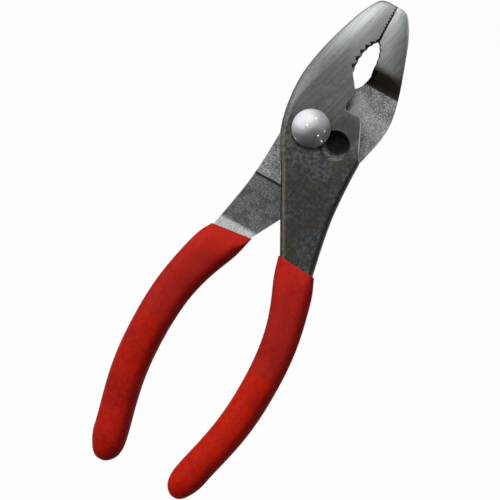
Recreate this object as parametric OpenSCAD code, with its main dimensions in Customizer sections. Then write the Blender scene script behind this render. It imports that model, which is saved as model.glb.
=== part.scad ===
// Slip joint pliers, closed in the narrow setting. +Y runs to the nose and +Z through the bolt's domed head.
// The origin is on the pivot axis, at the back of the nut, where the bolt's end is flush. Both halves are
// the same forging, one turned over: each is drawn with its closing line on x = 0 and its lap on z = 0.

/* [Jaws] */
// Pivot axis to the nose
jaw_length = 43.4; // [40:0.2:48]
// Thickness of both jaws at the nose
nose_thickness = 6.6; // [5:0.2:8]
// Width of the slotted jaw's nose, from the closing line out
front_nose_width = 5.1; // [4.5:0.1:7]
// Width of the plain jaw's nose, from the closing line out
back_nose_width = 3.3; // [3:0.1:6]
// How far the plain half's back edge is ground in
back_grind = 0.6; // [0:0.1:0.8]
// Width of the crown along the outer edge of the jaws
crown_width = 6; // [2:0.2:7]
// Radius of the nose corners
nose_corner = 1.6; // [1:0.1:2.2]
// Plain length at the tip, ahead of the fine teeth
tip_length = 2.2; // [1:0.1:3]
// Nose to the top of the pipe throat
flat_length = 11.6; // [9:0.2:13]
// Pitch of the fine teeth
fine_pitch = 1; // [0.8:0.1:1.6]
// Depth of the fine teeth, which mesh with those of the other jaw
fine_depth = 0.3; // [0.2:0.05:0.5]
// Gap left between the closed jaws
jaw_gap = 0.06; // [0.04:0.02:0.2]
// Chamfer of the jaws' edges along the closing line
jaw_chamfer = 0.3; // [0.1:0.05:0.5]

/* [Pipe throat] */
// Length of the throat along the tool
throat_length = 15.4; // [13:0.2:17]
// Depth of the throat in the slotted jaw, down to the roots of its teeth
front_throat_depth = 3.5; // [2.6:0.1:4]
// Depth of the throat in the plain jaw
back_throat_depth = 3.1; // [2.4:0.1:3.6]
// Number of coarse teeth in the slotted jaw
front_teeth = 5; // [3:1:7]
// Height of the coarse teeth in the slotted jaw
front_tooth = 1.1; // [0.5:0.1:1.4]
// Number of coarse teeth in the plain jaw
back_teeth = 4; // [2:1:6]
// Height of the coarse teeth in the plain jaw
back_tooth = 0.6; // [0.4:0.1:1]
// Depth over which the coarse gullets slope in from each face of the jaw
gullet_run = 2.4; // [1:0.1:3]

/* [Lapped joint] */
// Thickness of each cheek, half of the joint
cheek_thickness = 4.8; // [4:0.1:6]
// Closing line to the back of the cheek
cheek_width = 15.1; // [14:0.1:17]
// Pivot level to the widest level of the cheek
cheek_rise = 10; // [8:0.2:12]
// Pivot axis to the closing line
pivot_offset = 5; // [4.6:0.1:5.6]
// Gap between the lapped faces
lap_gap = 0.1; // [0.06:0.02:0.2]
// Pivot level to the foot of the step up to the jaw
step_height = 19.2; // [18:0.2:21]
// Length of the sloped step up to the jaw
step_length = 5.2; // [4:0.2:7]
// Radius at the top of the step
step_round = 2.4; // [1:0.2:4]
// How far each cutter edge reaches past the closing line
cutter_reach = 1.3; // [0.8:0.1:1.8]
// Depth of the wire notch under the cutter
notch_depth = 0.7; // [0.4:0.1:1]
// Length of the wire notch along the tool
notch_length = 4.4; // [3:0.2:5]
// Length of each cutter edge above the notch
cutter_edge = 1.4; // [0.8:0.1:2]
// Pivot level to the cheek's shoulder
shoulder_height = 9.6; // [8.5:0.1:10.5]
// Closing line to the shoulder's corner
shoulder_reach = 6.9; // [6:0.1:8]
// Drop from the pivot level to the foot of the shoulder
shoulder_drop = 2.2; // [1:0.1:4]
// Radius of the shoulder's corner
shoulder_round = 1.2; // [0.6:0.1:1.6]
// Rounding of the forged edges
edge_round = 1.9; // [0.8:0.1:2.2]

/* [Slip joint] */
// Diameter of both holes of the slot
hole_d = 8; // [7:0.1:8.6]
// Width of the neck between the holes
slot_neck = 5.6; // [4.6:0.1:6.4]
// Distance between the two holes
slip_travel = 8.6; // [7:0.1:8.8]
// Slant of the slot, from square across the tool
slip_slant = 8; // [0:1:15]
// Chamfer round the slot's front edge
slot_chamfer = 0.6; // [0.2:0.05:0.8]
// Play of the bolt in the slot, all round
slot_play = 0.08; // [0.05:0.01:0.1]
// Diameter of the bolt's round journal
journal_d = 6.6; // [6.2:0.1:7]
// Play of the journal in its bore, all round
journal_play = 0.05; // [0.02:0.01:0.1]
// Diameter of the domed head
head_d = 11.6; // [10.5:0.1:13]
// Height of the dome
head_height = 3; // [2.4:0.1:4]
// Height of the straight rim under the dome
head_rim = 0.8; // [0.4:0.1:1.2]
// Diameter of the threaded end
thread_d = 6; // [5:0.1:6]
// Play between thread and nut, all round
thread_play = 0.03; // [0.02:0.01:0.08]
// Chamfer on the bolt's end and in the nut's mouth
thread_chamfer = 0.5; // [0.2:0.1:0.8]
// Width of the nut across its flats
nut_across = 10; // [9:0.5:12]
// Thickness of the nut
nut_thickness = 3.6; // [3:0.1:5]
// Height of the chamfer on the nut's corners
nut_chamfer = 0.7; // [0.3:0.1:1]
// Gap under the head and under the nut
seat_gap = 0.05; // [0.02:0.01:0.1]

/* [Handles] */
// Pivot level to the mouth of the grips
neck_length = 37.4; // [35:0.2:42]
// Pivot level to the end of the bare handles
handle_length = 111.4; // [100:0.2:130]
// Closing line to the outer edge of the necks
neck_reach = 12.5; // [12:0.1:14]
// Closing line to the inner edge of the handles at the mouth
mouth_in = 5.3; // [5.2:0.1:6.5]
// Closing line to the outer edge of the handles at the mouth
mouth_out = 16.4; // [15.5:0.1:18]
// Closing line to the middle of the handles where they bow out most
bow_reach = 18.4; // [16:0.2:22]
// Width of the handles at their ends
bar_width = 7; // [6:0.2:9]
// Thickness of the handles inside the grips
bar_thickness = 6.6; // [5:0.2:8]
// Rounding of the handles' ends
bar_end_round = 3; // [1:0.2:3.2]
// Depth of the sunk panel on the necks
panel_depth = 0.5; // [0.2:0.1:0.8]
// Pivot level to the top of the sunk panel
panel_start = 18.6; // [17:0.2:21]
// Length of the slope down into the panel
panel_ramp = 0.6; // [0.2:0.1:1]
// Pivot level to the heel, where the panel rises to the handle
heel_start = 35; // [33:0.2:37]
// Length of the heel's slope
heel_length = 6; // [5:0.2:8]

/* [Grips] */
// Wall of the dipped grip on the slotted half
front_wall = 1.45; // [1:0.05:2]
// Wall of the dipped grip on the plain half
back_wall = 1.8; // [1:0.05:2.2]
// Wall at the mouth
lip_wall = 0.6; // [0.4:0.05:0.9]
// Length over which the lip thickens to the full wall
lip_length = 6; // [4:0.5:10]
// How much lower the mouth of the slotted half's grip lies on its outer side
front_lip_drop = 0.7; // [0:0.1:1.8]
// How much lower the mouth of the plain half's grip lies on its outer side
back_lip_drop = 1.4; // [0:0.1:1.8]
// Thickness of the closed end on the slotted half
front_end = 2.6; // [2.2:0.1:5]
// Thickness of the closed end on the plain half
back_end = 3.2; // [2.2:0.1:5]
// Rounding of the grips' upper edges, less their wall
grip_edge_round = 2.8; // [2:0.1:3.2]
// Length of the round end
grip_end_round = 8; // [5:0.5:10]
// Gap between handle and grip
grip_gap = 0.08; // [0.05:0.01:0.15]

/* [Hidden] */
$fn = 72;

// Overrun of all cuts
over = 1;
// Spacing of the loft's rings on curved and on plain stretches
fine_step = 1.5;
ring_step = 3;
// Sides of each rounded corner of a ring, and of a longer arc
corner_sides = 5;
arc_sides = 8;

// Levels: middle of the lap, and the seats of head and nut
lap_z = nut_thickness + seat_gap + cheek_thickness;
head_z = lap_z + cheek_thickness + seat_gap;
slip_vector = slip_travel * [cos(slip_slant), -sin(slip_slant)];

// Edges of the forging from above, as [share of the way down, share of the way across]
jaw_back_shares = [[0, 0], [0.08, 0.165], [0.2, 0.37], [0.37, 0.575], [0.575, 0.78], [0.8, 0.945], [1, 1]];
crossing_shares = [[0, 0], [0.17, 0.036], [0.3, 0.112], [0.4, 0.227], [0.5, 0.375], [0.72, 0.648], [1, 1]];
neck_shares = [[0, 0], [0.2, 0], [0.48, 0.14], [0.64, 0.33], [0.85, 0.7], [1, 1]];
bow_shares = [[0, 0], [0.1, 0.34], [0.2, 0.66], [0.3, 0.88], [0.4, 0.98], [0.5, 1], [0.6, 0.96],
  [0.7, 0.84], [0.8, 0.63], [0.9, 0.38], [1, 0.19]];
taper_shares = [[0, 0], [0.1, 0.32], [0.2, 0.62], [0.3, 0.79], [0.45, 0.9], [1, 1]];
// Where the plain half's back edge is ground in, as [share of the way from nose to mouth, share of depth]
grind_shares = [[0, 0], [0.2, 1], [0.41, 0.3], [0.53, 1.6], [0.58, 1.7], [0.7, 0.7], [0.85, 0], [1, 0]];
// Where the jaw starts to curve down to the nose, as a share of its length
thinning_share = 0.2;
// How far down the handle its face comes in from the cheek's level to the bar's
settle_share = 0.45;
// Where down the handle its section turns from flat to round
round_shares = [0.32, 0.5];
// Where the teeth start and end on the throat's half turn, and how far along each tooth its tip lies
front_row_shares = [0.17, 0.68];
back_row_shares = [0.14, 0.52];
tip_share = 0.4;
// How far the coarse gullets rise towards the middle of the jaw, as a share of their teeth
gullet_share = 0.75;
// Most of the jaw's width that its crown takes
crown_share = 0.9;
// How far the plain jaw's smooth hollow runs on below its teeth, and the spacing of its points
hollow_end_share = 0.93;
hollow_step_share = 0.07;
// Roundness of bar and grip, as a share of half the bar's thickness
bar_round_share = 0.45;
grip_round_share = 0.88;
// Round lip of the grip, as [share of its wall down from the mouth, share of its wall out from the bar]
lip_shares = [[0, 0.5], [0.35, 0.87], [1, 1]];
// How far the last ring of a round end is turned, and how steep the top of the jaw's step still is
end_turn = 80;
step_end_turn = 10;
// How far the shoulder's round corner turns
corner_turn = 60;

mouth_mid = (mouth_in + mouth_out) / 2;
mouth_width = mouth_out - mouth_in;
throat_top = jaw_length - flat_length;
throat_mid = throat_top - throat_length / 2;
lap_face = lap_gap / 2;
heel_end = heel_start + heel_length;

// Smooth curve through a table of [place, value], read at one place
function slope(table, i) =
  let (a = max(i - 1, 0), b = min(i + 1, len(table) - 1))
  (table[b][1] - table[a][1]) / (table[b][0] - table[a][0]);
function stretch(table, s, i = 0) =
  i >= len(table) - 2 || s < table[i + 1][0] ? i : stretch(table, s, i + 1);
function curve(table, s) =
  let (i = stretch(table, s), run = table[i + 1][0] - table[i][0], u = (s - table[i][0]) / run)
  let (rise = table[i + 1][1] - table[i][1], p = slope(table, i) * run, q = slope(table, i + 1) * run)
  table[i][1] + u * (p + u * (3 * rise - 2 * p - q + u * (p + q - 2 * rise)));
function mix(a, b, share) = a + (b - a) * share;
function placed(shares, from, to) =
  [for (s = shares) [mix(from[0], to[0], s[0]), mix(from[1], to[1], s[1])]];
function tail(list) = [for (i = [1 : len(list) - 1]) list[i]];
function steps(from, to, size) =
  let (count = max(1, ceil(abs(to - from) / size)))
  [for (i = [0 : count]) mix(from, to, i / count)];
// Eased step from 0 to 1
function ease(s) = let (t = min(max(s, 0), 1)) t * t * (3 - 2 * t);

// Handle bar: middle line and half width at a drop below the pivot level
bar_middle = placed(bow_shares, [neck_length, mouth_mid], [handle_length, bow_reach]);
bar_half = placed(taper_shares, [neck_length, mouth_width / 2], [handle_length, bar_width / 2]);
function bar_in(drop) = curve(bar_middle, drop) - curve(bar_half, drop);
function bar_out(drop) = curve(bar_middle, drop) + curve(bar_half, drop);

// Edge on the jaw's own side: back of the jaw, cheek and the crossing to the handle's inner edge
function jaw_edge(nose_width) = concat(
  placed(jaw_back_shares, [-jaw_length, -nose_width], [-cheek_rise, -cheek_width]),
  tail(placed(crossing_shares, [-cheek_rise, -cheek_width], [neck_length, mouth_in]))
);
neck_edge = placed(neck_shares, [0, neck_reach], [neck_length, mouth_out]);

// What a round corner takes off a side, at a distance from the end
function corner_loss(distance, radius) =
  let (d = radius - min(distance, radius))
  radius - sqrt(radius * radius - d * d);

function near_edge(drop, nose_width, grind) =
  drop >= neck_length ? bar_in(drop)
  : curve(jaw_edge(nose_width), drop)
    + grind * curve(grind_shares, (drop + jaw_length) / (jaw_length + neck_length))
    + corner_loss(drop + jaw_length, nose_corner);
function far_edge(drop) =
  drop >= neck_length ? bar_out(drop) : drop <= 0 ? neck_reach : curve(neck_edge, drop);

// Outer face and lap side of the forging over the lap's middle
function handle_share(drop) = (drop - neck_length) / (handle_length - neck_length);
function settled(drop) = ease(handle_share(drop) / settle_share);
function outer_level(drop) =
  drop > 0 ? mix(cheek_thickness, bar_thickness / 2, settled(drop))
  : let (thinned = max(0, (-drop / jaw_length - thinning_share) / (1 - thinning_share)))
    mix(cheek_thickness, nose_thickness / 2, thinned * thinned);
function heel_level(drop) =
  mix(lap_face + panel_depth, -bar_thickness / 2, min(max((drop - heel_start) / heel_length, 0), 1));

// Corner radius of bar or grip, from flat at the mouth to round further down
function bar_round(drop, flat_round, share) =
  let (rounded = ease((handle_share(drop) - round_shares[0]) / (round_shares[1] - round_shares[0])))
  mix(flat_round, bar_thickness / 2 * share, rounded);
// Drops at which the handle bar has a ring, from the mouth to its round end
bar_drops = concat(
  steps(neck_length, heel_end, fine_step),
  tail(steps(heel_end, handle_length - bar_end_round, 2 * ring_step)),
  [for (i = [1 : corner_sides]) handle_length - bar_end_round * (1 - sin(end_turn * i / corner_sides))]
);

// Rounded box seen along the tool, on a slanted plane: near and far edge, and lap and outer level, each
// level with its own corner radius. The corners at the near edge can be drawn out into a wide crown, and the
// lap side can lie lower at the far edge, by dip.
function ring(drop, edges, levels, radii, slant = 0, dip = 0, crown = 1) =
  let (mid = (edges[0] + edges[1]) / 2, width = edges[1] - edges[0])
  let (limit = min(width, levels[1] - levels[0]) / 2)
  [for (corner = [0 : 3], i = [0 : corner_sides])
    let (turn = 90 * (corner + i / corner_sides), r = min(radii[corner < 2 ? 1 : 0], limit))
    let (far = corner == 0 || corner == 3, across = far ? r : r * crown)
    let (x = (far ? edges[1] - r : edges[0] + across) + across * cos(turn))
    let (level = corner < 2 ? levels[1] - r : levels[0] + r - dip * (x - mid) / width)
    [x, -drop - (x - mid) * tan(slant), level + r * sin(turn)]];

// Skin over rings of equal point counts, closed at both ends
module loft(rings) {
  count = len(rings[0]);
  skin = [for (k = [0 : len(rings) - 2], i = [0 : count - 1])
    let (a = k * count + i, b = k * count + (i + 1) % count)
    each [[a, a + count, b + count], [a, b + count, b]]];
  first = [for (i = [0 : count - 1]) i];
  last = [for (i = [0 : count - 1]) len(rings) * count - 1 - i];
  polyhedron([for (each_ring = rings) each each_ring], concat(skin, [first, last]));
}

// Forged blank of one half, before grinding: nose, cheek, neck and handle bar
module blank(nose_width, grind) {
  nose = [for (i = [0 : corner_sides]) nose_corner * (1 - cos(90 * i / corner_sides)) - jaw_length];
  jaw = tail(steps(nose_corner - jaw_length, -cheek_rise, 2 * fine_step));
  neck = tail(steps(-cheek_rise, neck_length, ring_step));
  loft([for (drop = concat(nose, jaw, neck, tail(bar_drops)))
    let (end = corner_loss(handle_length - drop, bar_end_round))
    let (high = outer_level(drop) - corner_loss(drop + jaw_length, nose_corner) / 2)
    let (low = drop > heel_start ? bar_thickness / 2 : high)
    let (near = near_edge(drop, nose_width, grind) + end, far = far_edge(drop) - end)
    let (crown = min(mix(edge_round, crown_width, ease(-drop / cheek_rise / 2)), -crown_share * near))
    let (radii = bar_round(drop, edge_round, bar_round_share) * [1, 1])
    ring(drop, [near, far], [end - low, high - end], radii, crown = max(1, crown / edge_round))]);
}

// Space on the lap side for the other half: foot of the jaw's step, lapped face, sunk panel and heel
module lap_cut() {
  deep = cheek_thickness + over;
  step_turn = atan(cheek_thickness / step_length);
  arc_z = cheek_thickness - step_round * cos(step_end_turn);
  arc_y = step_height + (arc_z + step_round * cos(step_turn)) / tan(step_turn) + step_round * sin(step_turn);
  arc = [for (i = [0 : arc_sides])
    let (turn = mix(step_end_turn, step_turn, i / arc_sides))
    [arc_y - step_round * sin(turn), lap_face - arc_z - step_round * cos(turn)]];
  step = concat([arc[0] + over * [1 / tan(step_end_turn), -1]], arc, [[step_height, lap_face]]);
  heel = heel_length * (1 + over / (bar_thickness / 2 + lap_face + panel_depth));
  floor_points = [
    [-panel_start, lap_face],
    [-panel_start - panel_ramp, lap_face + panel_depth],
    [-heel_start, lap_face + panel_depth],
    [-heel_start - heel, -bar_thickness / 2 - over],
    [-heel_start - heel, -deep]
  ];
  translate([-cheek_width - over, 0, 0])
    rotate([90, 0, 90])
      linear_extrude(cheek_width + mouth_out + bow_reach)
        polygon(concat(step, floor_points));
}

// Inner outline of the jaw and cheek, from the nose down to the neck. The fine teeth of one half lead with
// a tip and those of the other with a gullet.
function fine_row(lead) =
  let (first = jaw_length - tip_length, count = floor((first - throat_top) / fine_pitch))
  let (pitch = (first - throat_top) / count)
  [for (i = [0 : 2 * count - 1])
    let (side = lead * (i % 2 == 0 ? 1 : -1))
    [(side * fine_depth - jaw_gap) / 2, first - (2 * i + 1) * pitch / 4]];
function throat_point(share, depth, lift) =
  let (turn = 180 * share)
  [-jaw_gap / 2 - max(0, depth * sin(turn) - lift), throat_mid + throat_length / 2 * cos(turn)];
function coarse_row(row, count, depth, height, rise = 0) = concat(
  [[-jaw_gap / 2, throat_top]],
  [for (i = [0 : count - 1])
    let (start = mix(row[0], row[1], i / count), pitch = (row[1] - row[0]) / count)
    each [throat_point(start, depth, rise), throat_point(start + tip_share * pitch, depth, height)]],
  [throat_point(row[1], depth, rise)]
);
function notch() = [for (i = [0 : arc_sides])
  let (share = i / arc_sides)
  [cutter_reach - notch_depth * sin(180 * share), shoulder_height + notch_length * (1 - share)]];
cutter_tip = [cutter_reach, shoulder_height + notch_length + cutter_edge];

module jaw_cut(lead, throat) {
  far = mouth_out + over;
  corner = [for (i = [0 : corner_sides])
    let (turn = corner_turn * i / corner_sides)
    [shoulder_reach, shoulder_height] - shoulder_round * [1 - sin(turn), 1 - cos(turn)]];
  foot = [
    [neck_reach - shoulder_round, -shoulder_drop + shoulder_round],
    [neck_reach + over, -shoulder_drop - over],
    [far, -shoulder_drop]
  ];
  outline = concat(
    [[far, jaw_length + over], [-jaw_gap / 2, jaw_length + over], [-jaw_gap / 2, jaw_length - tip_length]],
    fine_row(lead),
    throat,
    [cutter_tip],
    notch(),
    corner,
    foot
  );
  translate([0, 0, -cheek_thickness - over])
    linear_extrude(2 * (cheek_thickness + over))
      polygon(outline);
  fall = atan((outer_level(-throat_top) - nose_thickness / 2) / flat_length);
  for (side = [-1, 1])
    translate([0, jaw_length, side * nose_thickness / 2])
      rotate([-side * fall, 0, 0])
        rotate([0, 45, 0])
          cube(sqrt(2) * [jaw_chamfer, 0, jaw_chamfer] + [0, 2 * flat_length, 0], center = true);
}

// Slopes of the coarse gullets, from their full depth at both faces in to the row that runs through the jaw
module gullets(face_row, inner_row) {
  module tooth_gap(row, i, low, height)
    translate([0, 0, low])
      linear_extrude(height)
        polygon([row[i - 1], row[i], row[i + 1], [0, row[i][1]]]);
  for (i = [1 : 2 : len(face_row) - 3], side = [0, 1])
    mirror([0, 0, side])
      hull() {
        tooth_gap(face_row, i, cheek_thickness, over);
        tooth_gap(inner_row, i, cheek_thickness - gullet_run, gullet_run);
      }
}

// Two holes joined by a narrower neck, with a chamfered front edge
module slip_slot() {
  first = [-pivot_offset, 0];
  for (place = [first, first + slip_vector])
    translate([place[0], place[1], 0]) {
      cylinder(d = hole_d, h = cheek_thickness + over);
      translate([0, 0, cheek_thickness - slot_chamfer])
        cylinder(d1 = hole_d, d2 = hole_d + 2 * (slot_chamfer + over), h = slot_chamfer + over);
    }
  translate([first[0], first[1], 0])
    rotate([0, 0, -slip_slant])
      translate([0, -slot_neck / 2, 0])
        cube([slip_travel, slot_neck, cheek_thickness + over]);
}

module front_half() {
  function teeth(share) =
    coarse_row(front_row_shares, front_teeth, front_throat_depth, front_tooth, share * front_tooth);
  color("slategray")
    translate([pivot_offset, 0, lap_z])
      difference() {
        blank(front_nose_width, 0);
        lap_cut();
        jaw_cut(1, teeth(gullet_share));
        gullets(teeth(0), teeth(gullet_share));
        slip_slot();
      }
}

module back_half() {
  function teeth(share) =
    coarse_row(back_row_shares, back_teeth, back_throat_depth, back_tooth, share * back_tooth);
  hollow = [for (share = tail(steps(back_row_shares[1], hollow_end_share, hollow_step_share)))
    throat_point(share, back_throat_depth, 0)];
  color("dimgray")
    translate([pivot_offset, 0, lap_z])
      rotate([0, 180, 0])
        difference() {
          blank(back_nose_width, back_grind);
          lap_cut();
          jaw_cut(-1, concat(teeth(gullet_share), hollow));
          gullets(teeth(0), teeth(gullet_share));
          translate([pivot_offset, 0, -over])
            cylinder(d = journal_d + 2 * journal_play, h = cheek_thickness + 2 * over);
        }
}

// Dipped cup over one handle bar: inside from the closed end up, round lip, outside back down to a round end
module grip(grip_wall, lip_drop, grip_end) {
  function wall(down) = mix(lip_wall, grip_wall, ease(down / lip_length));
  function shell(drop, grow, flat_round, round_share, turn = 0) =
    let (fade = 1 - ease((drop - neck_length) / (heel_end - neck_length)))
    let (slant = atan(fade * lip_drop / mouth_width))
    let (place = min(drop, handle_length), reach = curve(bar_half, place) * tan(slant))
    let (near = near_edge(place - reach, front_nose_width, 0), far = far_edge(place + reach))
    let (low = heel_level(drop), high = outer_level(place))
    let (dip = heel_level(drop - reach) - heel_level(drop + reach))
    let (side = (far - near) / 2 * (1 - cos(turn)) - grow * cos(turn))
    let (face = (high - low) / 2 * (1 - cos(turn)) - grow * cos(turn))
    let (high_round = bar_round(drop, flat_round, round_share))
    let (low_round = corner_loss(low + bar_thickness / 2, high_round))
    let (radii = [low_round + grow, high_round + grow] * cos(turn))
    ring(drop, [near + side, far - side], [low + face, high - face], radii, slant, dip);
  inside = [for (i = [len(bar_drops) - 1 : -1 : 0])
    let (end = corner_loss(handle_length - bar_drops[i], bar_end_round))
    shell(bar_drops[i], grip_gap - end, edge_round, bar_round_share)];
  lip = [for (s = lip_shares)
    shell(neck_length + s[0] * lip_wall, s[1] * lip_wall, edge_round, grip_round_share)];
  last = handle_length + grip_end - grip_end_round;
  upper = tail(steps(neck_length, heel_end, fine_step));
  lower = tail(steps(heel_end, last, 2 * fine_step));
  outside = [for (drop = concat(upper, lower))
    let (edge = mix(edge_round, grip_edge_round, ease((drop - neck_length) / lip_length)))
    shell(drop, wall(drop - neck_length), edge, grip_round_share)];
  end = [for (i = [1 : 2 * corner_sides])
    let (turn = end_turn * i / (2 * corner_sides), drop = last + grip_end_round * sin(turn) / sin(end_turn))
    shell(drop, grip_wall, grip_edge_round, grip_round_share, turn)];
  loft(concat(inside, lip, outside, end));
}

module front_grip() {
  color("firebrick")
    translate([pivot_offset, 0, lap_z])
      grip(front_wall, front_lip_drop, front_end);
}

module back_grip() {
  color("firebrick")
    translate([pivot_offset, 0, lap_z])
      rotate([0, 180, 0])
        grip(back_wall, back_lip_drop, back_end);
}

// Domed head, flatted shank in the slot, round journal in the plain half and threaded end
module pivot_bolt() {
  head_r = head_d / 2;
  dome = head_height - head_rim;
  ball_r = (head_r * head_r + dome * dome) / (2 * dome);
  color("silver") {
    translate([0, 0, head_z])
      intersection() {
        cylinder(d = head_d, h = head_height + over);
        translate([0, 0, head_height - ball_r])
          sphere(r = ball_r, $fn = 120);
      }
    translate([0, 0, lap_z])
      intersection() {
        cylinder(d = hole_d - 2 * slot_play, h = head_z - lap_z);
        rotate([0, 0, -slip_slant])
          translate([-hole_d / 2, -slot_neck / 2 + slot_play, 0])
            cube([hole_d, slot_neck - 2 * slot_play, head_z - lap_z]);
      }
    translate([0, 0, nut_thickness])
      cylinder(d = journal_d, h = lap_z - nut_thickness);
    cylinder(d1 = thread_d - 2 * thread_chamfer, d2 = thread_d, h = thread_chamfer);
    translate([0, 0, thread_chamfer])
      cylinder(d = thread_d, h = nut_thickness - thread_chamfer);
  }
}

module pivot_nut() {
  flat_r = nut_across / 2;
  corner_r = flat_r / cos(30);
  cone_r = mix(flat_r, corner_r, nut_thickness / nut_chamfer);
  bore = thread_d + 2 * thread_play;
  color("gray")
    difference() {
      intersection() {
        cylinder(r = corner_r, h = nut_thickness, $fn = 6);
        cylinder(r1 = flat_r, r2 = cone_r, h = nut_thickness);
      }
      translate([0, 0, -over])
        cylinder(d = bore, h = nut_thickness + 2 * over);
      translate([0, 0, -over])
        cylinder(d1 = bore + 2 * (thread_chamfer + over), d2 = bore, h = thread_chamfer + over);
    }
}

front_half();
back_half();
front_grip();
back_grip();
pivot_bolt();
pivot_nut();
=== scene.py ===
"""Slip joint pliers lying on a white table, seen from straight above."""
import math

import bmesh
import bpy
from mathutils import Matrix, Vector


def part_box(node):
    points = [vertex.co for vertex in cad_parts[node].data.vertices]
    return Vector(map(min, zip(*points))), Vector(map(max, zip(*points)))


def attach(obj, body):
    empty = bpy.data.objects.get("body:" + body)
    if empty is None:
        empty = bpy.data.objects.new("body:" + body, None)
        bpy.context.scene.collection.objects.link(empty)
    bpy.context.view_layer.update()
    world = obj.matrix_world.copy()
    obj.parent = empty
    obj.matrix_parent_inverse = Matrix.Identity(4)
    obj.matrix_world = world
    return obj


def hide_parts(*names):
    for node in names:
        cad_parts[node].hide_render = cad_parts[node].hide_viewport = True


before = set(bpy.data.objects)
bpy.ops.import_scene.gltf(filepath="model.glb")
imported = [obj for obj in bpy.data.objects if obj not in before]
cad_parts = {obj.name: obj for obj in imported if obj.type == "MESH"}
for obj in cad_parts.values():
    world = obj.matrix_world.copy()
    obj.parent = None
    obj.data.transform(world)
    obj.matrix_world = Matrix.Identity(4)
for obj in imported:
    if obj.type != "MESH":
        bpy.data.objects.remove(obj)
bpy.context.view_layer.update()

# Plain half. A drop forging of tool steel, shot-blasted all over and then ground on its jaw and outer face. It
# lies behind, with a bore for the bolt's journal, and its blasted cheek and sunk neck panel show beside the
# other half.
MM = 0.001
WELD = 0.002 * MM
FLAT_ANGLE = math.radians(0.05)
SLIVER = 0.03 * MM


def merged_copy(node, name):
    """A copy of a solid with its loose triangles joined, selected by itself."""
    bpy.ops.object.select_all(action="DESELECT")
    piece = bpy.data.objects.new(name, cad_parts[node].data.copy())
    bpy.context.scene.collection.objects.link(piece)
    bpy.context.view_layer.objects.active = piece
    piece.select_set(True)
    piece.data.materials.clear()
    bpy.ops.object.mode_set(mode="EDIT")
    bpy.ops.mesh.select_all(action="SELECT")
    bpy.ops.mesh.remove_doubles(threshold=WELD)
    bpy.ops.object.mode_set(mode="OBJECT")
    return piece


def join_flats():
    """Joins the triangles of each flat face of the selected piece."""
    bpy.ops.object.mode_set(mode="EDIT")
    bpy.ops.mesh.select_all(action="SELECT")
    bpy.ops.mesh.dissolve_limited(angle_limit=FLAT_ANGLE)
    bpy.ops.mesh.dissolve_degenerate(threshold=SLIVER)
    bpy.ops.object.mode_set(mode="OBJECT")


JAW_LINE = 5 * MM
THROAT_LOW, THROAT_HIGH = 15.5 * MM, 34 * MM
THROAT_REACH = 4.2 * MM
SLOT_MIDDLE = (4.26 * MM, -0.60 * MM)
SLOT_ROUND = 9.4 * MM


def middle(edge):
    return (edge.verts[0].co + edge.verts[1].co) / 2


def beside_teeth(edge):
    """Whether an edge lies in the throat or along the closing line."""
    spot = middle(edge)
    return abs(spot.x - JAW_LINE) < THROAT_REACH and spot.y > THROAT_LOW


def beside_slot(edge):
    """Whether an edge lies round the slip slot, whose rim is cut with its own chamfer."""
    return math.dist(middle(edge)[:2], SLOT_MIDDLE) < SLOT_ROUND


SHARP_EDGE = math.radians(36)
SMOOTH_EDGE = math.radians(40)
TOOTH_EDGE = math.radians(8)
WORN_SLIVER = 0.004 * MM


def break_edges(piece, width, spared=()):
    """Breaks the sharp outer edges, apart from spared ones, and marks the narrow new faces as worn."""
    bpy.ops.object.mode_set(mode="EDIT")
    bpy.ops.mesh.select_mode(type="EDGE")
    bpy.ops.mesh.select_all(action="DESELECT")
    bpy.ops.mesh.edges_select_sharp(sharpness=SHARP_EDGE)
    shape = bmesh.from_edit_mesh(piece.data)
    for edge in shape.edges:
        kept = any(lies_there(edge) for lies_there in spared)
        edge.select_set(edge.select and edge.is_convex and not kept)
    bmesh.update_edit_mesh(piece.data)
    bpy.ops.mesh.bevel(offset=width, segments=2, affect="EDGES", clamp_overlap=False)
    bpy.ops.object.mode_set(mode="OBJECT")
    worn = piece.data.attributes.new("worn", "FLOAT", "FACE")
    worn.data.foreach_set("value", [float(face.select) for face in piece.data.polygons])
    bpy.ops.object.mode_set(mode="EDIT")
    bpy.ops.mesh.select_all(action="SELECT")
    bpy.ops.mesh.dissolve_degenerate(threshold=WORN_SLIVER)
    bpy.ops.object.mode_set(mode="OBJECT")


def smooth_faces(piece):
    """Smooth shading that keeps flat faces flat beside their broken edges and teeth."""
    bpy.ops.object.shade_smooth_by_angle(angle=SMOOTH_EDGE)
    bpy.ops.object.mode_set(mode="EDIT")
    shape = bmesh.from_edit_mesh(piece.data)
    for edge in shape.edges:
        if beside_teeth(edge) and edge.calc_face_angle(0) > TOOTH_EDGE:
            edge.smooth = False
    bmesh.update_edit_mesh(piece.data)
    bpy.ops.object.mode_set(mode="OBJECT")
    weights = piece.modifiers.new("flat_faces", "WEIGHTED_NORMAL")
    weights.keep_sharp = True
    bpy.ops.object.modifier_apply(modifier=weights.name)


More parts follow.
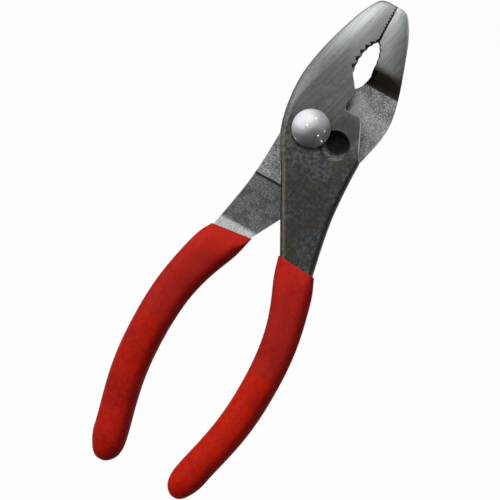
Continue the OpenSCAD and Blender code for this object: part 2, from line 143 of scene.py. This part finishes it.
class Wire:
    """An output in a material's nodes. Sums and products of wires add Math nodes."""

    def __init__(self, tree, socket=None):
        self.tree = tree
        self.socket = socket

    def node(self, kind, settings, inputs, output=0):
        made = self.tree.nodes.new("ShaderNode" + kind)
        for name, value in settings.items():
            setattr(made, name, value)
        for name, value in inputs.items():
            if isinstance(value, Wire):
                self.tree.links.new(value.socket, made.inputs[name])
            else:
                made.inputs[name].default_value = value
        return Wire(self.tree, made.outputs[output])

    def math(self, operation, *values):
        return self.node("Math", {"operation": operation}, dict(enumerate(values)))

    def __add__(self, other):
        return self.math("ADD", self, other)

    def __radd__(self, other):
        return self.math("ADD", other, self)

    def __sub__(self, other):
        return self.math("SUBTRACT", self, other)

    def __rsub__(self, other):
        return self.math("SUBTRACT", other, self)

    def __mul__(self, other):
        return self.math("MULTIPLY", self, other)

    def __rmul__(self, other):
        return self.math("MULTIPLY", other, self)

    def __abs__(self):
        return self.math("ABSOLUTE", self)

    def either(self, other):
        """The larger of two shares."""
        return self.math("MAXIMUM", self, other)

    def fade(self, low, high):
        """0 below low, 1 above high and a smooth rise between."""
        settings = {"interpolation_type": "SMOOTHSTEP"}
        return self.node("MapRange", settings, {"Value": self, "From Min": low, "From Max": high})

    def drop(self, low, high):
        """1 below low, 0 above high and a smooth fall between."""
        return 1 - self.fade(low, high)

    def between(self, low, high, soft):
        """1 between two values and 0 outside them, with soft limits."""
        return self.fade(low - soft, low) * self.drop(high, high + soft)

    def mix(self, first, second):
        """Colour between two colours, with this wire as the share of the second."""
        return self.node("Mix", {"data_type": "RGBA"}, {0: self, 6: first, 7: second}, 2)

    def noise(self, scale, detail=2.0, roughness=0.5):
        """Noise at this place, in features per metre."""
        inputs = {"Vector": self, "Scale": scale, "Detail": detail, "Roughness": roughness}
        return self.node("TexNoise", {}, inputs)

    def part(self, axis):
        """One part of a place or direction."""
        return self.node("SeparateXYZ", {}, {"Vector": self}, axis)

    def near(self, spot, close, far):
        """1 closer than one distance to an upright axis and 0 further than another."""
        flat = self.node("VectorMath", {"operation": "MULTIPLY"}, {0: self, 1: (1, 1, 0)}, "Vector")
        away = self.node("VectorMath", {"operation": "DISTANCE"}, {0: flat, 1: (*spot, 0)}, "Value")
        return away.drop(close, far)

    def turned(self, angle):
        """This place turned about the tool's thickness."""
        return self.node("Mapping", {}, {"Vector": self, "Rotation": (0, 0, angle)})

    def stretched(self, scale):
        """This place stretched along its three axes."""
        return self.node("Mapping", {}, {"Vector": self, "Scale": scale})

    def bumped(self, strength):
        """Surface direction with this height, in millimetres, as relief."""
        return self.node("Bump", {}, {"Height": self, "Distance": 1 * MM, "Strength": strength})


def start_material(name):
    """A new material with its shader, and a wire that gives the place on the piece."""
    material = bpy.data.materials.new(name)
    material.use_nodes = True
    shader = material.node_tree.nodes["Principled BSDF"]
    return material, shader, Wire(material.node_tree).node("TexCoord", {}, {}, "Object")


def plug(shader, **wires):
    """Links wires to the shader's sockets: base_color goes to Base Color, and so on."""
    for name, wire in wires.items():
        socket = shader.inputs[name.replace("_", " ").title()]
        wire.tree.links.new(wire.socket, socket)


# Noises of the steel: features to a metre, detail and roughness. SCRATCH is drawn out by SCRATCH_SCALE.
CLOUD = (70, 2.0, 0.5)
MOTTLE = (260, 4.0, 0.62)
WARMTH = (150, 3.0, 0.6)
FLECK = (1000, 4.0, 0.7)
GRAIN = (2400, 4.0, 0.75)
SCRATCH = (1, 3.0, 0.65)
SCRATCH_TURN = math.radians(15)
SCRATCH_SCALE = (1900, 70, 700)
CRISP = (0.34, 0.66)
STEP_FOOT, STEP_TOP = 19.2 * MM, 25.2 * MM
STEP_WAVE = 1.2 * MM
LAP_SOFT = 0.2 * MM


class Forging:
    """The wires that the finishes of one half are worked out from."""

    def __init__(self, place, lap):
        normal = place.node("TexCoord", {}, {}, "Normal")
        self.place = place
        self.across, self.along = place.part("X"), place.part("Y")
        self.upright = abs(normal.part("Z"))
        self.rightward = normal.part("X").fade(-0.1, 0.2)
        self.worn = place.node("Attribute", {"attribute_name": "worn"}, {}, "Fac")

        self.cloud = place.noise(*CLOUD)
        self.mottle = place.noise(*MOTTLE)
        self.fleck = place.noise(*FLECK).fade(*CRISP)
        self.grain = place.noise(*GRAIN)
        self.scratches = place.turned(SCRATCH_TURN).stretched(SCRATCH_SCALE).noise(*SCRATCH)

        lapped = place.part("Z").between(*lap, LAP_SOFT)
        uneven = self.along + STEP_WAVE * (self.cloud - 0.5)
        self.blasted = lapped * uneven.drop(STEP_TOP - 0.9 * MM, STEP_TOP + 2.2 * MM)
        self.ground = 1 - self.blasted
        # Dark scale on the jaw's sloped step, which also stands there as painted shade.
        self.scale = self.blasted * self.along.fade(STEP_FOOT - 0.2 * MM, STEP_FOOT + 0.3 * MM)


GROUND_LIGHT = (0.66, 0.70, 0.67, 1)
GROUND_COOL = (0.044, 0.049, 0.055, 1)
GROUND_WARM = (0.056, 0.053, 0.047, 1)
GROUND_STAIN = (0.052, 0.048, 0.040, 1)
CHEEK_SHINE = (-14 * MM, 8 * MM)
JAW_SHINE = (18 * MM, 40 * MM)
NOSE_SHINE = (33 * MM, 43 * MM)
JAW_SHADE_SPAN = (20 * MM, 34 * MM)
INNER_JAW_SHADE = (-3 * MM, 4.5 * MM)
OUTER_JAW_SHADE = (6 * MM, 11 * MM)
FLECKS_END = (-6 * MM, 10 * MM)
COOL_SIDE = (6 * MM, 13 * MM)
COOL_END = (-16 * MM, -6 * MM)
STAINS_END = (-6 * MM, 16 * MM)
SHOULDER = (9.5 * MM, 4.5 * MM)
SPOT_EDGE = (2.5 * MM, 6 * MM)


def ground_face(steel, polish):
    """Colour of a ground face: bright and streaked at the nose, partly as a painted reflection, with painted
    shade across the jaws, and dark, mottled and stained down the neck.
    """
    across, along = steel.across, steel.along
    past_line = across.fade(JAW_LINE, JAW_LINE + 0.2 * MM)
    left_jaw = across.fade(*INNER_JAW_SHADE) * (1 - past_line)
    # Painted shade across the jaws towards the nose: darker near the closing line on the left jaw and towards
    # the outer edge on the right one.
    jaw_shade = along.fade(*JAW_SHADE_SPAN) * (0.5 * left_jaw + 0.35 * across.fade(*OUTER_JAW_SHADE))
    nose = along.fade(*NOSE_SHINE) * past_line
    # Lighter ground steel at the cheek, jaws and nose, partly a painted reflection.
    shine = 0.10 * along.fade(*CHEEK_SHINE) + 0.42 * along.fade(*JAW_SHINE) + 0.3 * nose
    bright = polish * shine * (1 - jaw_shade)

    streaks = (0.04 + 0.22 * bright) * (steel.scratches.fade(*CRISP) - 0.5)
    flecks = (0.15 - 0.11 * along.fade(*FLECKS_END)) * (steel.fleck - 0.5)
    patches = (0.05 + 0.10 * bright) * (steel.mottle - 0.5)
    lightness = 0.035 + bright + flecks + patches + streaks

    cool = across.fade(*COOL_SIDE) * along.drop(*COOL_END)
    warm = steel.place.noise(*WARMTH).fade(0.40, 0.62) * (1 - 0.6 * cool)
    colour = lightness.mix(warm.mix(GROUND_COOL, GROUND_WARM), GROUND_LIGHT)
    stains = (steel.cloud + 0.4 * steel.mottle).fade(0.60, 0.85) * along.drop(*STAINS_END)
    stained = stains.either(0.8 * steel.place.near(SHOULDER, *SPOT_EDGE))
    return (0.7 * stained).mix(colour, GROUND_STAIN)


BLASTED_PEAK = (0.56, 0.57, 0.56, 1)
BLASTED_PIT = (0.10, 0.105, 0.11, 1)
FORGE_SCALE_AND_SHADE = (0.055, 0.045, 0.036, 1)
PANEL_STEP = -18.9 * MM
HEEL = (-35.6 * MM, -34 * MM)
CUTTER = (7 * MM, 12 * MM)
RUBBED_AND_LIT_BAND = (6.5 * MM, 11 * MM)
RUBBED_AND_LIT_SOFT = 2.5 * MM


def blasted_lap(steel):
    """Colour of a blasted lap: speckled, darker in the sunk panel, lighter at the heel, and lighter near the
    cutter and across the cheek, partly where it rubs and partly as painted light.
    """
    along, mottle = steel.along, steel.mottle
    heel = along.drop(*HEEL)
    panel = along.drop(PANEL_STEP - 0.3 * MM, PANEL_STEP) * along.fade(*HEEL)
    # Lighter near the cutter and in a band across the cheek: partly rubbed wear, partly painted light where the
    # other half's shadow falls.
    lit_at_cutter = steel.place.near(CUTTER, *SPOT_EDGE)
    rubbed = lit_at_cutter.either(0.4 * along.between(*RUBBED_AND_LIT_BAND, RUBBED_AND_LIT_SOFT))
    speckled = (steel.grain + 0.25 * (mottle - 0.5)).fade(0.36, 0.68) * (1 - 0.60 * panel)
    blotched = speckled - 0.30 * panel * mottle.fade(0.46, 0.62)
    return (blotched + 0.5 * heel + 0.5 * rubbed).mix(BLASTED_PIT, BLASTED_PEAK)


FORGED_SIDE_AND_SHADE = (0.060, 0.052, 0.036, 1)
BROWN_LIT_EDGE = (0.18, 0.165, 0.125, 1)
SLOT_EDGE = (0.10, 0.092, 0.068, 1)
WORN_EDGE_AND_GLINT = (0.85, 0.85, 0.82, 1)
WALL_SLOPE = (0.40, 0.66)
ROUND_SLOPE = (0.60, 0.90)
CHAMFER_SLOPE = (0.80, 0.97)
BROWN_END = (-12 * MM, 4 * MM)
FREE_HOLE = (8.52 * MM, -1.20 * MM)
HOLE_RADIUS = 4 * MM
SHOULDER_REACH = (11 * MM, 12 * MM)
SHOULDER_EDGE = (1 * MM, 9.5 * MM)


def dressed_edges(steel, colour):
    """A half's colour with its dark forged sides, brown neck edges with a painted highlight on the left and
    painted shade on the right, slot rim, worn corners and a painted glint on the shoulder.
    """
    along, upright = steel.along, steel.upright
    wall = upright.drop(*WALL_SLOPE) * steel.ground
    rounded = steel.ground * upright.between(*ROUND_SLOPE, 0.08) * along.drop(*BROWN_END)
    # Lighter brown on rounded neck edges that face left: a brown tint with a painted highlight on that side.
    brown = 0.75 * rounded * (1 - steel.rightward) * (0.5 + 0.5 * steel.fleck)
    # Dark forged colour on the side walls, and painted shade on rounded edges that face right.
    side = wall.either(0.9 * rounded * steel.rightward)
    rim = steel.place.near(FREE_HOLE, HOLE_RADIUS + 0.8 * MM, HOLE_RADIUS + 1.4 * MM)
    chamfer = rim * upright.drop(*CHAMFER_SLOPE) * steel.ground
    # Worn edge breaks are lightened a little everywhere and much more along the shoulder's edge, as a painted
    # glint.
    glint = steel.across.fade(*SHOULDER_REACH) * along.between(*SHOULDER_EDGE, 1 * MM)
    worn_and_glint = steel.worn * (1 - steel.scale) * (1 - rim) * (0.2 + 0.8 * glint)
    for share, finish in ((brown, BROWN_LIT_EDGE), (side, FORGED_SIDE_AND_SHADE), (chamfer, SLOT_EDGE), (worn_and_glint, WORN_EDGE_AND_GLINT)):
        colour = share.mix(colour, finish)
    return colour


# Near-black colour of the painted shade.
PAINTED_SHADE_TONE = (0.020, 0.018, 0.016, 1)
TOOTH_SLOPE = (0.82, 0.96)
TOOTH_GAPS = ((2.05, 22.1), (2.0, 24.5), (2.25, 26.9), (2.85, 28.8), (3.75, 30.4), (4.8, 31.5))
GAP_TURN = math.radians(29)
GAP_EDGE = (0.55 * MM, 0.72 * MM)


def painted_teeth_shade(steel):
    """Painted shade: 1 in the throat's gullets and in the square gaps between the left jaw's coarse teeth."""
    throat = steel.across.between(JAW_LINE - THROAT_REACH, JAW_LINE + THROAT_REACH, 0.1 * MM)
    throat = throat * steel.along.between(THROAT_LOW, THROAT_HIGH, 0.1 * MM)
    painted_shade = throat * steel.upright.drop(*TOOTH_SLOPE)
    square = steel.place.turned(-GAP_TURN)
    for gap in TOOTH_GAPS:
        gap_x, gap_y = Matrix.Rotation(-GAP_TURN, 2) @ Vector(gap) * MM
        away = abs(square.part("X") - gap_x).either(abs(square.part("Y") - gap_y))
        painted_shade = painted_shade.either(away.drop(*GAP_EDGE))
    return painted_shade


FINE_PITCH = 1 * MM
SEAM_LEFT = (JAW_LINE - 0.44 * MM, JAW_LINE - 0.36 * MM)
SEAM_RIGHT = (JAW_LINE + 0.03 * MM, JAW_LINE + 0.11 * MM)
SEAM_START = (THROAT_HIGH - 3 * MM, THROAT_HIGH - 2 * MM)
HOLE_SHADE = (8.93 * MM, 0.24 * MM)
NOTCH_SIDE = (6.3 * MM, 7.7 * MM)
NOTCH_LEVEL = 10.7 * MM
HEAD_SHADE = (0.45 * MM, -0.75 * MM)
HEAD_EDGE = (5.5 * MM, 6.4 * MM)


def painted_shade_at(steel):
    """Painted shade: at the teeth, along the closing line and the panel step, in the free hole, in the cutter's
    corner and round the bolt's head.
    """
    place, across, along = steel.place, steel.across, steel.along
    # Painted shade along the closing line, its left edge stepped with the fine teeth.
    saw = along.math("SINE", along * (math.tau / FINE_PITCH))
    closing_line_shade = (across + 0.2 * MM * saw).fade(*SEAM_LEFT) * across.drop(*SEAM_RIGHT) * along.fade(*SEAM_START)
    # Painted shade along the step into the sunk panel.
    panel_step_shade = steel.blasted * along.between(PANEL_STEP - 0.30 * MM, PANEL_STEP + 0.30 * MM, 0.15 * MM)
    # Painted shadow on the lap and the rim's chamfer seen through the free hole; its centre lies off the
    # hole's, so one side stays light.
    in_hole = place.near(HOLE_SHADE, HOLE_RADIUS - 1.0 * MM, HOLE_RADIUS + 0.6 * MM)
    hole_shadow = in_hole * (0.9 * steel.blasted + 0.8 * steel.upright.drop(*CHAMFER_SLOPE) * steel.ground)
    # Painted shadow on the blasted lap in the cutter's corner, beside the other half's edge.
    below_notch = along.between(NOTCH_LEVEL - 1 * MM, NOTCH_LEVEL, 0.5 * MM)
    corner = below_notch.either(along.between(NOTCH_LEVEL, NOTCH_LEVEL, 3 * MM))
    cutter_corner_shadow = steel.blasted * across.drop(*NOTCH_SIDE) * corner
    # Painted shadow round the bolt's head, off its centre to one side.
    head_shadow = place.near(HEAD_SHADE, *HEAD_EDGE)
    painted_shade = painted_teeth_shade(steel).either(closing_line_shade)
    return painted_shade.either(0.8 * panel_step_shade).either(hole_shadow).either(0.7 * cutter_corner_shadow).either(0.65 * head_shadow)


def forged_steel(name, lap, polish):
    """Steel of one half: blasted where it laps the other, ground elsewhere, dark scale and painted shade on the
    jaw's step, and painted shade at the teeth, closing line, panel step, free hole, cutter's corner and round
    the bolt's head.
    """
    material, shader, place = start_material(name)
    steel = Forging(place, lap)
    faces = steel.blasted.mix(ground_face(steel, polish), blasted_lap(steel))
    edged = dressed_edges(steel, steel.scale.mix(faces, FORGE_SCALE_AND_SHADE))
    # Painted shade at the teeth, closing line, panel step, free hole, cutter's corner and bolt head.
    painted_shade = painted_shade_at(steel)
    ground_rough = 0.34 + 0.12 * steel.mottle + 0.08 * steel.scratches
    blasted_rough = 0.50 + 0.16 * steel.grain
    rough = ground_rough + steel.blasted * (blasted_rough - ground_rough) - 0.05 * steel.worn + 0.2 * painted_shade
    ground_relief = steel.ground * (0.03 * steel.scratches + 0.012 * steel.fleck)
    relief = ground_relief + 0.20 * steel.blasted * steel.grain + 0.02 * steel.mottle
    plug(shader, base_color=painted_shade.mix(edged, PAINTED_SHADE_TONE), roughness=rough, normal=relief.bumped(0.9))
    shader.inputs["Metallic"].default_value = 1.0
    return material


HALF_BREAK = 0.20 * MM
PLAIN_LAP = (7.0 * MM, 14 * MM)
PLAIN_POLISH = 1.1

plain_half = merged_copy("back_half", "plain_half_steel")
join_flats()
break_edges(plain_half, HALF_BREAK, (beside_teeth, beside_slot))
smooth_faces(plain_half)
plain_half.data.materials.append(forged_steel("blasted_steel", PLAIN_LAP, PLAIN_POLISH))
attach(plain_half, "plain_half")
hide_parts("back_half")

# Slotted half. The same forging turned over, with the two joined holes of the slip slot cut through its cheek.
# Its whole outer face is ground smooth; its colour is light at the nose, partly as a painted reflection, and
# dark, with a few stains, down to the grip.
SLOTTED_LAP = (3.0 * MM, 9.9 * MM)
SLOTTED_POLISH = 1.0

slotted_half = merged_copy("front_half", "slotted_half_steel")
join_flats()
break_edges(slotted_half, HALF_BREAK, (beside_teeth, beside_slot))
smooth_faces(slotted_half)
slotted_half.data.materials.append(forged_steel("ground_steel", SLOTTED_LAP, SLOTTED_POLISH))
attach(slotted_half, "slotted_half")
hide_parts("front_half")

# Pivot bolt. Turned steel with a polished domed head, a flatted shank that passes the slot's neck, a round
# journal in the plain half and a threaded end for the nut.
HEAD_RADIUS = 5.8 * MM
DOME_HEIGHT = 2.2 * MM
DOME_STEPS = 96
HEAD_SEAT = 13.3 * MM
LAP_LEVEL = 8.45 * MM
NUT_TOP = 3.6 * MM
SHANK_RADIUS = 3.92 * MM
FLAT_REACH = 2.72 * MM
JOURNAL_RADIUS = 3.3 * MM
THREAD_RADIUS = 3.0 * MM
END_CHAMFER = 0.5 * MM
RIM_BREAK = 0.12 * MM
SAME = 0.01 * MM
SLOT_SLANT = math.radians(-8)
POLISH_DARK = (0.29, 0.30, 0.32, 1)
POLISH_LIGHT = (0.35, 0.36, 0.38, 1)

head_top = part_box("pivot_bolt")[1][2]
rim_top = head_top - DOME_HEIGHT
ball_radius = (HEAD_RADIUS ** 2 + DOME_HEIGHT ** 2) / (2 * DOME_HEIGHT)
bpy.ops.object.select_all(action="DESELECT")
bpy.ops.mesh.primitive_uv_sphere_add(
    segments=DOME_STEPS, ring_count=DOME_STEPS, radius=ball_radius, location=(0, 0, head_top - ball_radius))
pivot_bolt = bpy.context.object
pivot_bolt.name = "domed_bolt"
bpy.ops.object.transform_apply(location=True, rotation=False, scale=False)
bpy.ops.object.mode_set(mode="EDIT")
bpy.ops.mesh.select_all(action="SELECT")
bpy.ops.mesh.bisect(plane_co=(0, 0, rim_top), plane_no=(0, 0, 1), clear_inner=True)
radius, level = HEAD_RADIUS, rim_top
for next_radius, next_level in (
    (HEAD_RADIUS, HEAD_SEAT),
    (SHANK_RADIUS, HEAD_SEAT),
    (SHANK_RADIUS, LAP_LEVEL),
    (JOURNAL_RADIUS, LAP_LEVEL),
    (JOURNAL_RADIUS, NUT_TOP),
    (THREAD_RADIUS, NUT_TOP),
    (THREAD_RADIUS, END_CHAMFER),
    (THREAD_RADIUS - END_CHAMFER, 0),
):
    bpy.ops.mesh.extrude_region_move(TRANSFORM_OT_translate={"value": (0, 0, next_level - level)})
    share = next_radius / radius
    bpy.ops.transform.resize(value=(share, share, 1), center_override=(0, 0, next_level))
    radius, level = next_radius, next_level
bpy.ops.mesh.edge_face_add()
flat_way = Vector((-math.sin(SLOT_SLANT), math.cos(SLOT_SLANT), 0))
shape = bmesh.from_edit_mesh(pivot_bolt.data)
for vert in shape.verts:
    if abs(Vector(vert.co[:2]).length - SHANK_RADIUS) < SAME:
        reach = vert.co.dot(flat_way)
        vert.co += flat_way * (max(-FLAT_REACH, min(FLAT_REACH, reach)) - reach)
bmesh.update_edit_mesh(pivot_bolt.data)
bpy.ops.mesh.select_all(action="SELECT")
bpy.ops.mesh.normals_make_consistent(inside=False)
bpy.ops.object.mode_set(mode="OBJECT")
rim = pivot_bolt.modifiers.new("rim", "BEVEL")
rim.width = RIM_BREAK
rim.segments = 3
rim.angle_limit = math.radians(30)
bpy.ops.object.modifier_apply(modifier=rim.name)
bpy.ops.object.shade_smooth_by_angle(angle=math.radians(32))

polished, shader, place = start_material("polished_steel")
haze = place.noise(420, 3.0, 0.6)
dents = place.noise(700, 1.0, 0.4)
plug(
    shader,
    base_color=haze.fade(0.3, 0.7).mix(POLISH_DARK, POLISH_LIGHT),
    roughness=0.47 + 0.10 * haze,
    normal=(0.006 * dents).bumped(0.6),
)
shader.inputs["Metallic"].default_value = 1.0
shader.inputs["Coat Weight"].default_value = 1.0
shader.inputs["Coat IOR"].default_value = 2.5
shader.inputs["Coat Roughness"].default_value = 0.12
pivot_bolt.data.materials.append(polished)
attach(pivot_bolt, "pivot")
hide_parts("pivot_bolt")

# Pivot nut. A plain hexagon nut of satin dark steel, with chamfered corners. It is screwed on the bolt's end
# and drawn up against the back of the plain half.
NUT_BREAK = 0.04 * MM
NUT_DARK = (0.22, 0.22, 0.23, 1)
NUT_LIGHT = (0.40, 0.40, 0.41, 1)

pivot_nut = merged_copy("pivot_nut", "hexagon_nut")
join_flats()
break_edges(pivot_nut, NUT_BREAK)
smooth_faces(pivot_nut)
nut_steel, shader, place = start_material("nut_steel")
stain = place.noise(500, 3.0, 0.6)
plug(
    shader,
    base_color=stain.mix(NUT_DARK, NUT_LIGHT),
    roughness=0.30 + 0.2 * stain,
    normal=(0.03 * place.noise(2400)).bumped(0.5),
)
shader.inputs["Metallic"].default_value = 1.0
pivot_nut.data.materials.append(nut_steel)
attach(pivot_nut, "pivot")
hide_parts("pivot_nut")

# Grips. Each bare handle is dipped in red vinyl, which sets as a seamless cup with a thin rolled lip. The upper
# half is duller and darker, partly as painted shade, and the lower half is still the bright, finely grained red
# it was dipped in.
RED_FRESH = (0.48, 0.012, 0.002, 1)
RED_DULL = (0.375, 0.015, 0.010, 1)
RED_LIP = (0.47, 0.018, 0.010, 1)
RED_DEEP = (0.24, 0.006, 0.005, 1)
DULL_END = (-72.2 * MM, -69.8 * MM)
DULL_WAVE = 9 * MM
LIP_RISE = (-52 * MM, -40 * MM)
PALM_SIDE = (-4 * MM, 4 * MM)
RIGHT_SHADE_SLOPE = (0.15, 0.80)


def dipped_vinyl():
    """Red vinyl, dull above and fresh below, the upper half darker partly as painted shade, darker where it is
    handled or rubbed, and painted shade on faces that turn right.
    """
    material, shader, place = start_material("red_vinyl")
    across, along = place.part("X"), place.part("Y")
    cloud = place.noise(90, 3.0, 0.55)
    speck = place.noise(1500, 3.0, 0.6)
    # The upper half's duller, darker red is partly painted shade.
    dull = (along + DULL_WAVE * (cloud - 0.5)).fade(*DULL_END)
    red = dull.mix(RED_FRESH, along.fade(*LIP_RISE).mix(RED_DULL, RED_LIP))

    smudged = cloud.fade(0.45, 0.75)
    rubbed = dull * place.noise(420, 3.0, 0.6).fade(0.5, 0.7)
    handled = (1 - dull) * across.drop(*PALM_SIDE)
    # Painted shade: faces that turn to the right are mixed towards the deep red.
    right_side_shade = place.node("TexCoord", {}, {}, "Normal").part("X").fade(*RIGHT_SHADE_SLOPE)
    grained = (1 - 0.7 * dull) * place.noise(850, 2.0, 0.6).fade(0.38, 0.62)
    deep = 0.4 * smudged + 0.35 * rubbed + 0.22 * handled + 0.75 * right_side_shade + 0.32 * grained
    plug(
        shader,
        base_color=deep.mix(red, RED_DEEP),
        roughness=0.55 + 0.12 * dull + 0.10 * (speck - 0.5),
        normal=(0.05 * speck + 0.12 * place.noise(260)).bumped(0.35),
    )
    shader.inputs["Specular IOR Level"].default_value = 0.05
    return material


vinyl = dipped_vinyl()
for node, body in (("front_grip", "slotted_half"), ("back_grip", "plain_half")):
    grip = merged_copy(node, body + "_grip")
    bpy.ops.object.mode_set(mode="EDIT")
    bpy.ops.mesh.select_all(action="SELECT")
    bpy.ops.mesh.tris_convert_to_quads(face_threshold=math.radians(60), shape_threshold=math.radians(120))
    bpy.ops.object.mode_set(mode="OBJECT")
    smooth = grip.modifiers.new("smooth", "SUBSURF")
    smooth.levels = smooth.render_levels = 2
    bpy.ops.object.modifier_apply(modifier=smooth.name)
    bpy.ops.object.shade_smooth()
    grip.data.materials.append(vinyl)
    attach(grip, body)
    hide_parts(node)

# Table. A plain white sheet, a hair below the tool. It shows white to the camera and in the metal, and still
# takes the tool's shadow. Its own colour is grey, so that little light comes back up on the tool's sides.
TABLE_SIZE = 12
TABLE_PLACE = (0, -35 * MM, -0.3 * MM)
PAPER_GREY = (0.15, 0.15, 0.15, 1)
WHITE_SHARE = 0.985

bpy.ops.object.select_all(action="DESELECT")
bpy.ops.mesh.primitive_plane_add(size=TABLE_SIZE, location=TABLE_PLACE)
table = bpy.context.object
table.name = "table"
paper, shader, place = start_material("white_paper")
shader.inputs["Base Color"].default_value = PAPER_GREY
shader.inputs["Roughness"].default_value = 0.9
shader.inputs["Specular IOR Level"].default_value = 0.0
seen = place.node("LightPath", {}, {}, "Is Camera Ray")
for ray in ("Is Glossy Ray", "Is Transmission Ray"):
    seen = seen.either(place.node("LightPath", {}, {}, ray))
white = place.node("Emission", {}, {"Color": (1, 1, 1, 1), "Strength": 1.0})
lit = Wire(paper.node_tree, shader.outputs["BSDF"])
shown = place.node("MixShader", {}, {0: WHITE_SHARE * seen, 1: lit, 2: white})
paper.node_tree.links.new(shown.socket, paper.node_tree.nodes["Material Output"].inputs["Surface"])
table.data.materials.append(paper)

# Light. One large soft lamp at the upper left of the picture, a pale sky on that side and at the picture's top,
# and a few small lamps overhead that show as points in the polished dome.
PIVOT = Vector((0, 0, 13 * MM))
UPPER_LEFT = (-0.74, 0.32, 0.59)
PICTURE_TOP = (0.05, 0.81, 0.58)
POINTS = (
    (-0.756, 0.027, 0.653),
    (-0.324, 0.074, 0.943),
    (-0.025, 0.698, 0.716),
    (0.766, 0.259, 0.588),
    (0.612, -0.157, 0.775),
    (0.842, -0.332, 0.424),
    (-0.495, -0.848, 0.189),
)
SKY_EVERYWHERE = 0.015
SKY_GLOWS = (
    ((0, 0, 1), 0.30, 0.06),
    (UPPER_LEFT, 0.38, 1.5),
    (PICTURE_TOP, 0.55, 0.75),
)

scene = bpy.context.scene
scene.view_settings.view_transform = "Standard"


def lamp(name, direction, distance, size, power):
    """A square lamp that faces the pivot."""
    bpy.ops.object.select_all(action="DESELECT")
    way = Vector(direction).normalized()
    bpy.ops.object.light_add(type="AREA", location=PIVOT + distance * way)
    made = bpy.context.object
    made.name = name
    made.data.size = size
    made.data.energy = power
    made.rotation_mode = "QUATERNION"
    made.rotation_quaternion = way.to_track_quat("Z", "Y")


lamp("key_lamp", UPPER_LEFT, distance=0.55, size=0.70, power=0.9)
for point in POINTS:
    lamp("point_lamp", point, distance=0.6, size=0.014, power=0.07)

world = bpy.data.worlds.new("studio")
world.use_nodes = True
scene.world = world
look = Wire(world.node_tree).node("TexCoord", {}, {}, "Generated")
glow = SKY_EVERYWHERE
for direction, reach, strength in SKY_GLOWS:
    facing = look.node("VectorMath", {"operation": "DOT_PRODUCT"}, {0: look, 1: direction}, "Value")
    glow = glow + strength * facing.fade(reach, 1.0)
sky = world.node_tree.nodes["Background"]
world.node_tree.links.new(glow.socket, sky.inputs["Strength"])
sky.inputs["Color"].default_value = (1, 1, 1, 1)

# Camera. It looks straight down on the tool from far off, through a long lens, and is turned so that the jaws
# point to the upper right of the picture.
TURN = math.radians(29)
PICTURE = 146.25 * MM
LENS = 300
SENSOR = 36
CENTRE = Vector((1.62 * MM, -39.73 * MM, 11 * MM))
camera_data = bpy.data.cameras.new("camera")
camera_data.lens = LENS
camera_data.sensor_width = SENSOR
camera_data.clip_end = 50
camera = bpy.data.objects.new("camera", camera_data)
scene.collection.objects.link(camera)
camera.location = CENTRE + Vector((0, 0, PICTURE * LENS / SENSOR))
camera.rotation_euler = (0, 0, TURN)
scene.camera = camera
